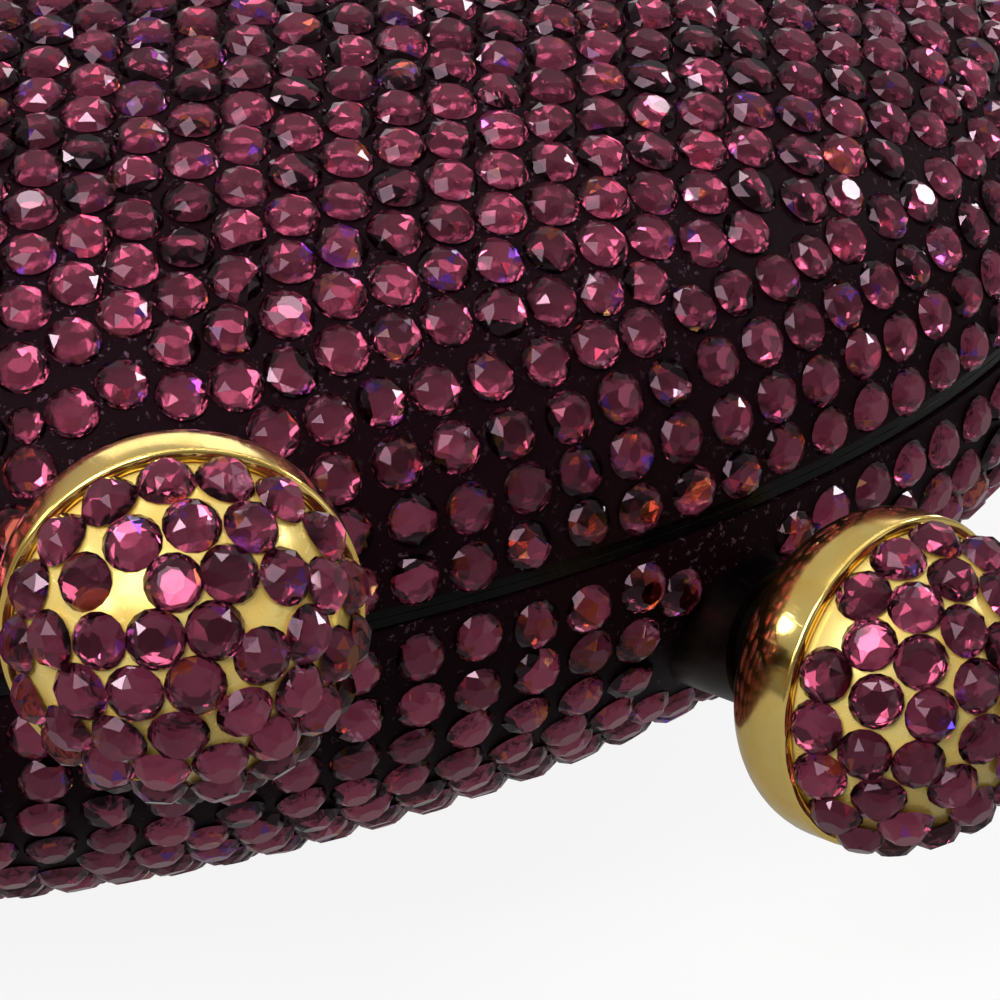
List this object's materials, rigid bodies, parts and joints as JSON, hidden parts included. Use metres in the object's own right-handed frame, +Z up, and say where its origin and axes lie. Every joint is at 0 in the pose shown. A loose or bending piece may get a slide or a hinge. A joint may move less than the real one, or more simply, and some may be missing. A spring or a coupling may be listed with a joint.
{
  "type": "minaudiere",
  "caption": "Oval hard-shell evening clutch paved with plum crystals, with a hinged lid and gold-cupped, crystal-domed turn knobs that lock the mouth.",
  "frame": {"origin": "middle of the flat rest face under the lower half", "axes": "+X along the case's length to the right, +Y to the hinge at the back, +Z up; the mouth and its knobs face -Y"},
  "size_m": [0.1502, 0.1426, 0.058],
  "materials": {
    "plum_lacquer": "dark plum lacquer on pressed metal",
    "crystal": "faceted plum crystals with foil backs",
    "black_lacquer": "glossy black lacquer",
    "gold_leather": "metallic leather lining",
    "gold": "polished gold plate",
    "steel": "bright steel"
  },
  "bodies": {
    "base": {"lower_shell": "plum_lacquer", "lower_pave": "crystal", "lower_lining": "gold_leather", "lower_rim_frame": "black_lacquer", "lower_strike": "steel", "right_bush": "gold", "right_bush_nut": "steel", "hinge_base_leaf": "gold", "hinge_base_rivets": "gold", "hinge_pin": "gold"},
    "lid": {"upper_shell": "plum_lacquer", "upper_pave": "crystal", "upper_lining": "gold_leather", "upper_rim_frame": "black_lacquer", "upper_strike": "steel", "left_bush": "gold", "left_bush_nut": "steel", "hinge_lid_leaf": "gold", "hinge_lid_rivets": "gold"},
    "right_knob": {"right_knob_cup": "gold", "right_knob_dome": "gold", "right_knob_pave": "crystal", "right_knob_stem": "gold", "right_knob_washer": "steel", "right_hook": "steel", "right_hook_nut": "steel"},
    "left_knob": {"left_knob_cup": "gold", "left_knob_dome": "gold", "left_knob_pave": "crystal", "left_knob_stem": "gold", "left_knob_washer": "steel", "left_hook": "steel", "left_hook_nut": "steel"}
  },
  "joints": [
    {"name": "lid_hinge", "type": "hinge", "parent": "base", "child": "lid", "pos_m": [0, 0.06115, 0.029], "axis": [-1, 0, 0], "range_deg": [0, 85]},
    {"name": "right_knob_turn", "type": "hinge", "parent": "base", "child": "right_knob", "pos_m": [0.0201, -0.05863, 0.0205], "axis": [-0.294, 0.9558, 0], "range_deg": [0, 90]},
    {"name": "left_knob_turn", "type": "hinge", "parent": "lid", "child": "left_knob", "pos_m": [-0.0201, -0.05863, 0.0375], "axis": [0.294, 0.9558, 0], "range_deg": [0, 90]}
  ]
}
